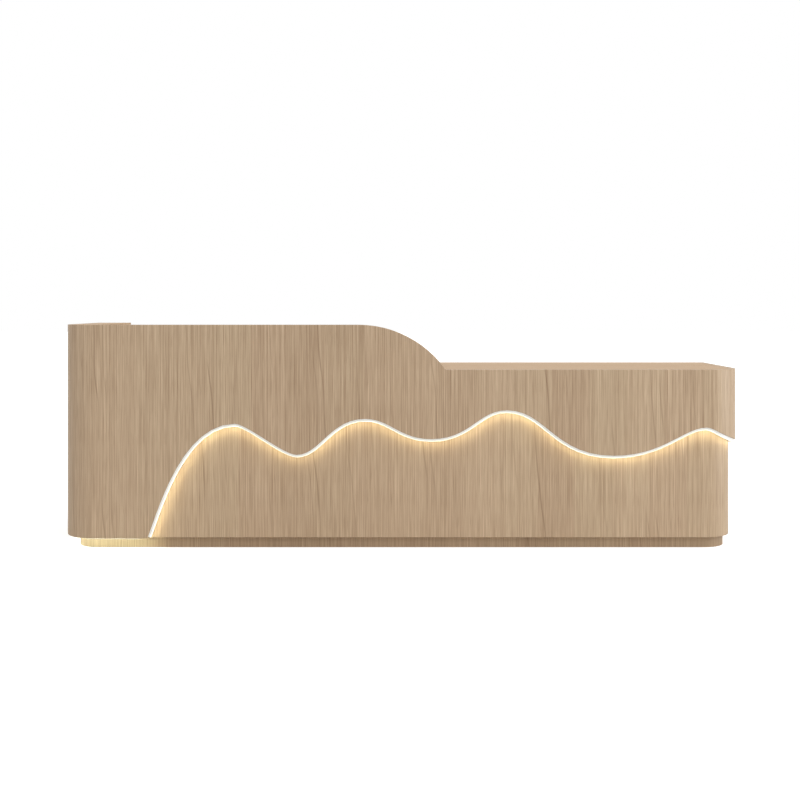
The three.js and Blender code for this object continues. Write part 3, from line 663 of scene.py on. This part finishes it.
# Drawers
# Three drawers with oak fronts scooped for the fingers. The sides are folded zinc-plated steel that runs in
# rails screwed to the gables, and the bottoms and backs are pale laminate.
SCREW = ((0, 0.0007), (0.0012, 0.0007), (0.0013, 0.0019), (0.0026, 0.0021), (0.0037, 0.0013), (0.0040, 0))
SCREW_FROM_END = 0.05
RAIL_STEEL = 0.0012
FRONT_SHEETS = 1.09
screw = turned_shape(SCREW, False, STUD_STEPS)


def along_depth(low, high):
    """Three places along a rail: near each end and in the middle."""
    return (low.y + SCREW_FROM_END, (low.y + high.y) / 2, high.y - SCREW_FROM_END)


for drawer in ("bottom_drawer", "middle_drawer", "top_drawer"):
    wooden_board(f"{drawer}_front", oak, "oak_veneer", drawer, Z_AXIS, BOARD_EASE, FRONT_SHEETS)
    for board in ("bottom", "back"):
        wooden_board(f"{drawer}_{board}", laminate, "carcass_board", drawer, Z_AXIS, CARCASS_EASE)
    for hand in ("left", "right"):
        coat_node(f"{drawer}_side_{hand}", zinc)
        coat_node(f"{drawer}_rail_{hand}", zinc)
        low, high = box_of(f"{drawer}_rail_{hand}")
        facing = 1 if hand == "left" else -1
        web = (low.x if hand == "left" else high.x) + facing * RAIL_STEEL
        places = [(web, y, (low.z + high.z) / 2) for y in along_depth(low, high)]
        stamp(f"{drawer}_rail_screws_{hand}", screw, places, (facing, 0, 0))

# Doors
# A pair of oak-faced doors that meet on a round finger hole. Each turns on a continuous steel hinge, rolled
# round one long pin.


def steel_piece(name, body):
    """Bare steel with crisp edges, as it comes from the press."""
    shape = copy_of(name)
    bmesh.ops.dissolve_limit(shape, angle_limit=FLAT, verts=shape.verts, edges=shape.edges)
    for edge in shape.edges:
        edge.smooth = edge.is_manifold and edge.calc_face_angle() < SHARP
    finish_piece(name + "_metal", shape, zinc, "steel", body, name)


for hand in ("left", "right"):
    body = f"door_{hand}"
    wooden_board(f"{hand}_door", oak, "oak_veneer", body, Z_AXIS, BOARD_EASE, FRONT_SHEETS)
    steel_piece(f"{hand}_hinge_door_leaf", body)
    steel_piece(f"{hand}_hinge_frame_leaf", "desk")
    steel_piece(f"{hand}_hinge_pin", "desk")

# Keyboard tray
# An oak-faced board on steel slides, hung below the worktop in two aluminium rails that are screwed up
# through their flanges.
FLANGE_MIDDLE = 0.010
TRAY_SHEETS = 0.47
wooden_board("keyboard_tray", oak, "oak_veneer", "tray", X_AXIS, BOARD_EASE, TRAY_SHEETS)
for hand in ("left", "right"):
    coat_node(f"keyboard_slide_{hand}", zinc)
    coat_node(f"keyboard_hanger_{hand}", aluminium)
    low, high = box_of(f"keyboard_hanger_{hand}")
    flange = low.x + FLANGE_MIDDLE if hand == "left" else high.x - FLANGE_MIDDLE
    places = [(flange, y, high.z - RAIL_STEEL) for y in along_depth(low, high)]
    stamp(f"keyboard_hanger_screws_{hand}", screw, places, (0, 0, -1))

# Lamp driver
# The metal case that feeds the lamps, out of sight on the inside of the lower panel. It is screwed there by
# an ear at either end.
DRIVER_EASE = 0.0006
EAR_MIDDLE = 0.008
EAR_THICK = 0.003
driver = copy_of("led_driver")
ease_edges(driver, DRIVER_EASE)
finish_piece("lamp_driver_case", driver, aluminium, "aluminium", "desk", "led_driver")
low, high = box_of("led_driver")
ears = [(x, low.y + EAR_THICK, (low.z + high.z) / 2) for x in (low.x + EAR_MIDDLE, high.x - EAR_MIDDLE)]
stamp("lamp_driver_screws", screw, ears, (0, 1, 0))

# Floor and light
# A pale studio: a white floor that keeps a soft shadow, an even white surround and a broad soft lamp high on
# the right. A weak lamp fills the right end from the front, and one more shows only as sheen on its round.
WHITE = (1, 1, 1, 1)
FLOOR_HALF = 40.0
FLOOR_DROP = 0.0005
FLOOR_WHITE = (0.80, 0.80, 0.80, 1)
FLOOR_MATT = 0.9
FLOOR_LIFT = 0.55
SURROUND = 0.68

floor_shape = bmesh.new()
bmesh.ops.create_grid(floor_shape, x_segments=1, y_segments=1, size=FLOOR_HALF)
bmesh.ops.translate(floor_shape, verts=floor_shape.verts, vec=(0, 0, -FLOOR_DROP))
floor_mesh = bpy.data.meshes.new("floor")
floor_shape.to_mesh(floor_mesh)
floor_shape.free()
floor = bpy.data.objects.new("floor", floor_mesh)
scene.collection.objects.link(floor)


def seen_directly(tree):
    """1 for what the camera sees, also in metal and through glass, and 0 for what lights the desk."""
    path = add_node(tree, "ShaderNodeLightPath")
    seen = calc(tree, "MAXIMUM", path.outputs["Is Camera Ray"], path.outputs["Is Glossy Ray"])
    return calc(tree, "MAXIMUM", seen, path.outputs["Is Transmission Ray"])


floor_finish, floor_tree, floor_shader = new_finish("studio_floor")
floor_shader.inputs["Base Color"].default_value = FLOOR_WHITE
floor_shader.inputs["Roughness"].default_value = FLOOR_MATT
floor_shader.inputs["Specular IOR Level"].default_value = 0.0
floor_shader.inputs["Emission Color"].default_value = WHITE
lift = calc(floor_tree, "MULTIPLY", seen_directly(floor_tree), FLOOR_LIFT)
plug(floor_tree, floor_shader.inputs["Emission Strength"], lift)
floor_mesh.materials.append(floor_finish)

world = bpy.data.worlds.new("studio")
world.use_nodes = True
scene.world = world
sky_tree = world.node_tree
sky = sky_tree.nodes["Background"]
sky.inputs["Color"].default_value = WHITE
sky_strength = calc(sky_tree, "MULTIPLY_ADD", seen_directly(sky_tree), 1 - SURROUND, SURROUND)
plug(sky_tree, sky.inputs["Strength"], sky_strength)

DESK_RIGHT = Vector((1.4, -0.1, 0.55))
FILL_PLACE = Vector((3.2, -2.6, 1.4))
FILL_SIZE = 2.0
FILL_POWER = 12
FILL_COLOUR = (0.93, 0.99, 1.0)
SHEEN_PLACE = Vector((4.60, -1.00, 1.0))
SHEEN_WIDTH = 1.4
SHEEN_HEIGHT = 2.4
SHEEN_POWER = 190
SHEEN_COLOUR = (1, 1, 1)


def aim_at_right_end(holder, place):
    holder.location = place
    holder.rotation_euler = (DESK_RIGHT - place).to_track_quat("-Z", "Y").to_euler()


fill_lamp = area_lamp("fill_lamp", FILL_SIZE, FILL_SIZE, FILL_POWER, FILL_COLOUR)
aim_at_right_end(fill_lamp, FILL_PLACE)
sheen_lamp = area_lamp("sheen_lamp", SHEEN_WIDTH, SHEEN_HEIGHT, SHEEN_POWER, SHEEN_COLOUR)
aim_at_right_end(sheen_lamp, SHEEN_PLACE)
sheen_lamp.visible_diffuse = False

FAR_LAMP_FROM = Vector((0.49, -0.35, 0.80))
FAR_LAMP_STRENGTH = 1.55
FAR_LAMP_SOFTNESS = math.radians(50)
far_lamp = bpy.data.lights.new("far_lamp", "SUN")
far_lamp.energy = FAR_LAMP_STRENGTH
far_lamp.angle = FAR_LAMP_SOFTNESS
far_holder = bpy.data.objects.new("far_lamp", far_lamp)
far_holder.rotation_euler = FAR_LAMP_FROM.to_track_quat("Z", "Y").to_euler()
scene.collection.objects.link(far_holder)
